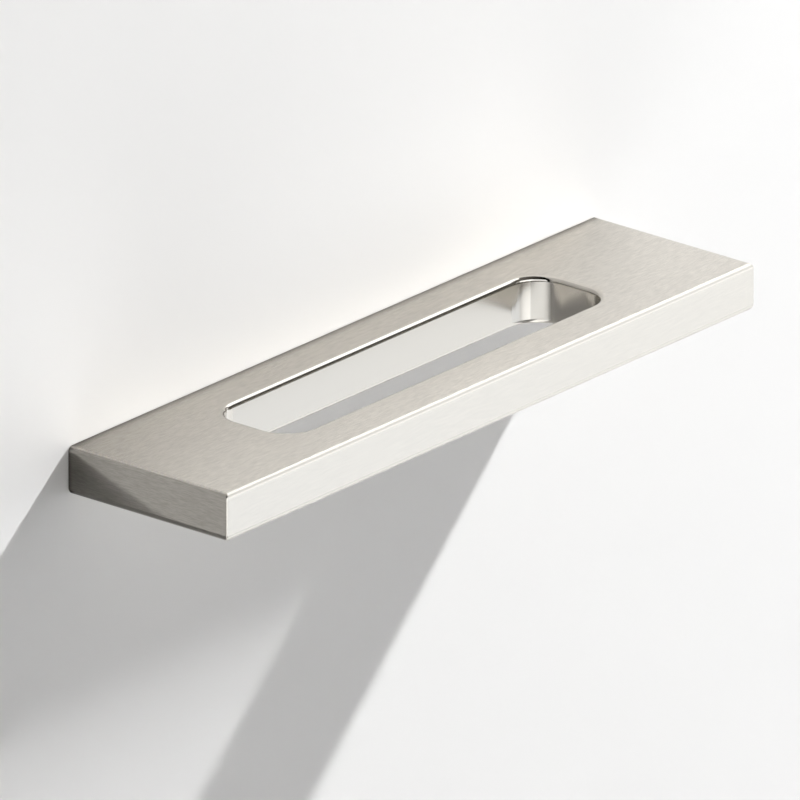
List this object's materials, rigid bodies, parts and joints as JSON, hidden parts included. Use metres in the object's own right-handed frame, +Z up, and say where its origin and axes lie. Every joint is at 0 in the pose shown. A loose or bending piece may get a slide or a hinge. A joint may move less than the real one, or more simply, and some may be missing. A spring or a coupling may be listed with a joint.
{
  "type": "cabinet pull",
  "caption": "Flat rectangular bar pull that stands out from a drawer front or door, with one long round-cornered finger slot milled through it.",
  "frame": {"origin": "middle of the flat back face that lies on the drawer front or door", "axes": "+X along the bar's length, +Y out of the back face into the panel, +Z up"},
  "size_m": [0.1524, 0.0381, 0.0096],
  "materials": {
    "satin_nickel": "warm satin nickel with a fine brushed grain along each face, and brighter, smoother metal inside the slot"
  },
  "bodies": {
    "root": {"pull_bar": "satin_nickel"}
  },
  "joints": []
}
